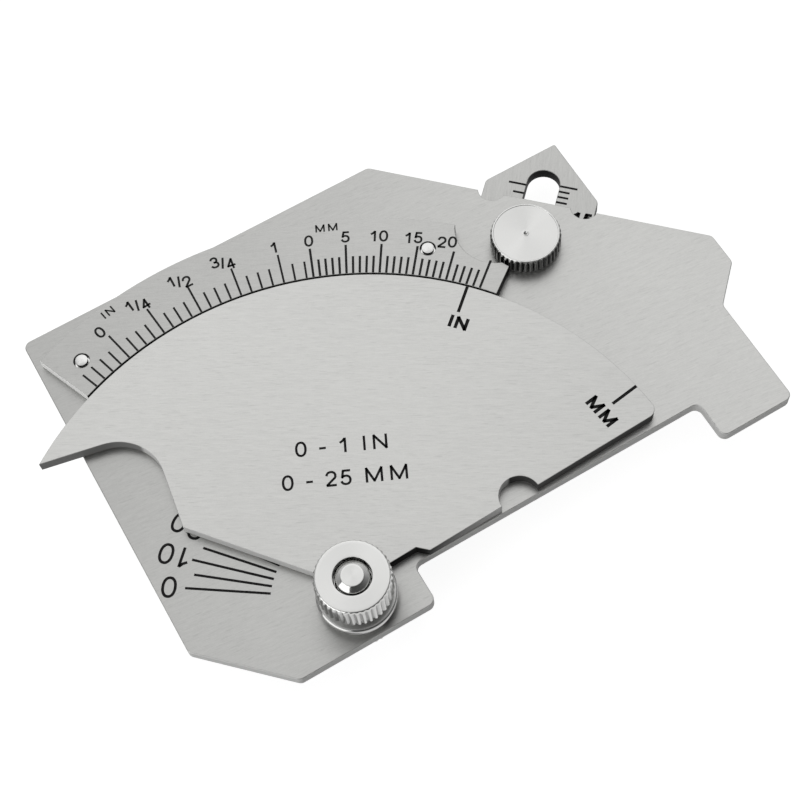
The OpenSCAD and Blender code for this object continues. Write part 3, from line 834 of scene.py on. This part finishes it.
for text, step, lean in inchLabels:
    turn = arc["inchIndex"] + tipTurn(step * sixteenth)
    labels.append((text, pivot + polar(arc["labelRing"], turn + lean), turn - 90, turn - 90 + arc["stagger"],
                   arc["tall"], arc["stroke"]))
for text, step, lean in mmLabels:
    turn = arc["mmIndex"] + tipTurn(step) + lean
    labels.append((text, pivot + polar(arc["labelRing"], turn), (turn - 90 + arc["mmWay"]) / 2, arc["mmWay"],
                   arc["tall"], arc["stroke"]))
for text, (ring, turn) in (("IN", arc["inPlace"]), ("MM", arc["mmPlace"])):
    labels.append((text, pivot + polar(ring, turn), turn - 90, turn - 90, arc["unitTall"], arc["unitStroke"]))
inked("arc_scale_marks", [lines, *words(labels, top, arc["tight"])], scaleInk, "scale_plate")

# Index lines, units and measuring ranges on the cam
index = {"long": 4.6, "wide": 0.48, "inPlace": (44.7, 41.0), "mmPlace": (44.4, 7.6),
         "tall": 2.25, "stroke": 0.52, "tight": 0.2}
ranges = {"turn": -25.2, "tall": 2.45, "stroke": 0.36}
rangeLines = (("0 - 1 IN", (9.15, 26.9)), ("0 - 25 MM", (7.2, 22.2)))
top = levels("cam_plate")[1]
turns = np.array([arc["inchIndex"], arc["mmIndex"]])
lines = bars(pivot + polar(camRadius - index["long"], turns), pivot + polar(camRadius - inset, turns),
             index["wide"], top)
labels = [(text, pivot + polar(ring, turn), turn - 90, turn - 90, index["tall"], index["stroke"])
          for text, (ring, turn) in (("IN", index["inPlace"]), ("MM", index["mmPlace"]))]
rangeLabels = [(text, np.array(place), ranges["turn"], ranges["turn"], ranges["tall"], ranges["stroke"])
               for text, place in rangeLines]
inked("cam_index_marks", [lines, *words(labels, top, index["tight"]), *words(rangeLabels, top)],
      camInk, "cam_plate")

# Angle scale round the pivot
fan = {"zero": 145, "last": 60, "near": 12.4, "far": 24.6, "shorter": 0.9, "tall": 3.2, "stroke": 0.42,
       "single": 26.9, "double": 27.2}
top = levels("body_plate")[1]
steps = np.arange(0, fan["last"] + 1, 5)
turns = fan["zero"] - steps
reaches = np.where(steps % 10 == 0, fan["far"], fan["far"] - fan["shorter"])
lines = bars(pivot + polar(fan["near"], turns), pivot + polar(reaches, turns), ink["wide"], top)
labels = []
for step in range(0, fan["last"] + 1, 10):
    turn = fan["zero"] - step
    middle = fan["single"] if step == 0 else fan["double"]
    labels.append((str(step), pivot + polar(middle, turn), turn, turn, fan["tall"], fan["stroke"]))
inked("angle_scale_marks", [lines, *words(labels, top)], camInk, "body_plate")

# Throat scale on the slide, read at the 45 degree edge
throat = {"edge": 27.58, "reading": 15.2, "slotHalf": 2.6, "long": 2.85, "short": 1.8, "last": 20,
          "label": 7.3, "tall": 2.05, "stroke": 0.54, "inchTall": 0.85, "inchStroke": 0.8, "turn": -45}
top = levels("slide_plate")[1]


def onSlide(across, reading):  # place on the slide, from its centre line and the throat reading
    along = np.asarray(reading) - throat["edge"] - throat["reading"]
    return plateCorner + np.multiply.outer(across, slideAcross) + np.multiply.outer(along, slideAlong)


mmMarks = np.arange(throat["last"] + 1)
inchMarks = np.arange(int(throat["last"] / sixteenth) + 1)
mmReach = throat["slotHalf"] + np.where(mmMarks % 5 == 0, throat["long"], throat["short"])
inchReach = throat["slotHalf"] + np.where(inchMarks % 4 == 0, throat["long"], throat["short"])
near = throat["slotHalf"] + inset
starts = [onSlide(near + 0 * mmMarks, mmMarks), onSlide(-near + 0 * inchMarks, inchMarks * sixteenth)]
ends = [onSlide(mmReach, mmMarks), onSlide(-inchReach, inchMarks * sixteenth)]
lines = bars(np.concatenate(starts), np.concatenate(ends), ink["wide"], top)
turn = throat["turn"]
labels = [(str(step), onSlide(throat["label"], step), turn, turn, throat["tall"], throat["stroke"])
          for step in range(0, throat["last"], 5)]
labels += [(text, onSlide(-throat["label"], step * sixteenth), turn, turn,
            throat["tall"] * throat["inchTall"], throat["stroke"] * throat["inchStroke"])
           for text, step in (("0", 0), ("1/4", 4), ("1/2", 8))]
inked("throat_scale_marks", [lines, *words(labels, top)], camInk, "slide_plate")
print("marks done")

# Studio
studio = {
    "floorTone": 0.26, "floorRough": 0.9, "glow": 0.88, "reach": 30.0, "gap": 0.0001,
    "low": 0.05, "high": 1.12, "highWay": (0.22, 0.55, 0.80),
    "highStops": [(0.64, 0), (0.80, 0.24), (0.97, 1)],
    "horizon": 0.44, "horizonStops": [(0.5, 1), (0.6, 0.85), (0.74, 0)],
    "lampAim": (0.025, 0.03, 0),
}
floorLevel = cadBox[0][2] - studio["gap"]
reach = studio["reach"]
floorMesh = bpy.data.meshes.new("floor")
floorMesh.from_pydata([(-reach, -reach, floorLevel), (reach, -reach, floorLevel), (reach, reach, floorLevel),
                       (-reach, reach, floorLevel)], [], [(0, 1, 2, 3)])
floor = bpy.data.objects.new("floor", floorMesh)
bpy.context.scene.collection.objects.link(floor)
floorMaterial, floorShader, wire = newMaterial("paleFloor")
ray = wire.node("ShaderNodeLightPath", out="Is Camera Ray")
glossy = wire.node("ShaderNodeLightPath", out="Is Glossy Ray")
through = wire.node("ShaderNodeLightPath", out="Is Transmission Ray")
feed(floorShader, wire, {
    "Base Color": (studio["floorTone"],) * 3 + (1,),
    "Roughness": studio["floorRough"],
    "Specular IOR Level": 0.0,
    "Emission Color": (ray + glossy + through).toward((0, 0, 0, 1), (1, 1, 1, 1)),
    "Emission Strength": studio["glow"],
})
floorMesh.materials.append(floorMaterial)

world = bpy.data.worlds.new("softStudio")
bpy.context.scene.world = world
world.use_nodes = True
sky = world.node_tree.nodes["Background"]
wire = Wire(world.node_tree, sky.outputs[0])
way = wire.node("ShaderNodeTexCoord", out="Generated")


def lobe(direction, stops):  # grey by how far a sky direction faces this one, from 0 opposite to 1
    facing = wire.node("ShaderNodeVectorMath", {"operation": "DOT_PRODUCT"},
                       {0: way, 1: tuple(Vector(direction).normalized())}, out="Value")
    return wire.node("ShaderNodeValToRGB", {"stops": stops}, {0: facing * 0.5 + 0.5})


overhead = lobe(studio["highWay"], studio["highStops"])
horizon = lobe((0, 0, 1), studio["horizonStops"])  # so that low views don't mirror a dark room
glow = studio["low"] + overhead * studio["high"] + horizon * studio["horizon"]
feed(sky, wire, {"Color": glow, "Strength": 1.0})

lamps = (  # name, place, size, power
    ("keyLamp", (0.16, 0.42, 0.62), 0.8, 0.5),
    ("sideLamp", (-1.0, -0.2, 0.56), 1.1, 7.4),
)
for name, place, size, power in lamps:
    light = bpy.data.lights.new(name, "AREA")
    light.size = size
    light.energy = power
    lamp = bpy.data.objects.new(name, light)
    lamp.location = place
    lamp.rotation_mode = "QUATERNION"
    lamp.rotation_quaternion = (Vector(studio["lampAim"]) - Vector(place)).to_track_quat("-Z", "Y")
    bpy.context.scene.collection.objects.link(lamp)

# Camera, with the image taken as 800 by 800
view = {
    "place": (-19.118, -66.699, 217.019), "aim": (25.115, 26.343, 1.0), "up": (0.472998, 0.769874, 0.428446),
    "focalPixels": 1623.0, "imagePixels": 800, "sensor": 36, "shift": (-0.0495, 0.0025), "clip": 0.01,
}
camera = bpy.data.cameras.new("camera")
camera.sensor_width = view["sensor"]
camera.lens = view["focalPixels"] * camera.sensor_width / view["imagePixels"]
camera.shift_x, camera.shift_y = view["shift"]
camera.clip_start = view["clip"]
eye = bpy.data.objects.new("camera", camera)
back = (Vector(view["place"]) - Vector(view["aim"])).normalized()
right = Vector(view["up"]).cross(back).normalized()
eyeTurn = Matrix((right, back.cross(right), back)).transposed().to_4x4()
eye.matrix_world = Matrix.Translation(Vector(view["place"]) * mm) @ eyeTurn
bpy.context.scene.collection.objects.link(eye)
bpy.context.scene.camera = eye
bpy.context.scene.view_settings.view_transform = "Standard"
print("studio done")
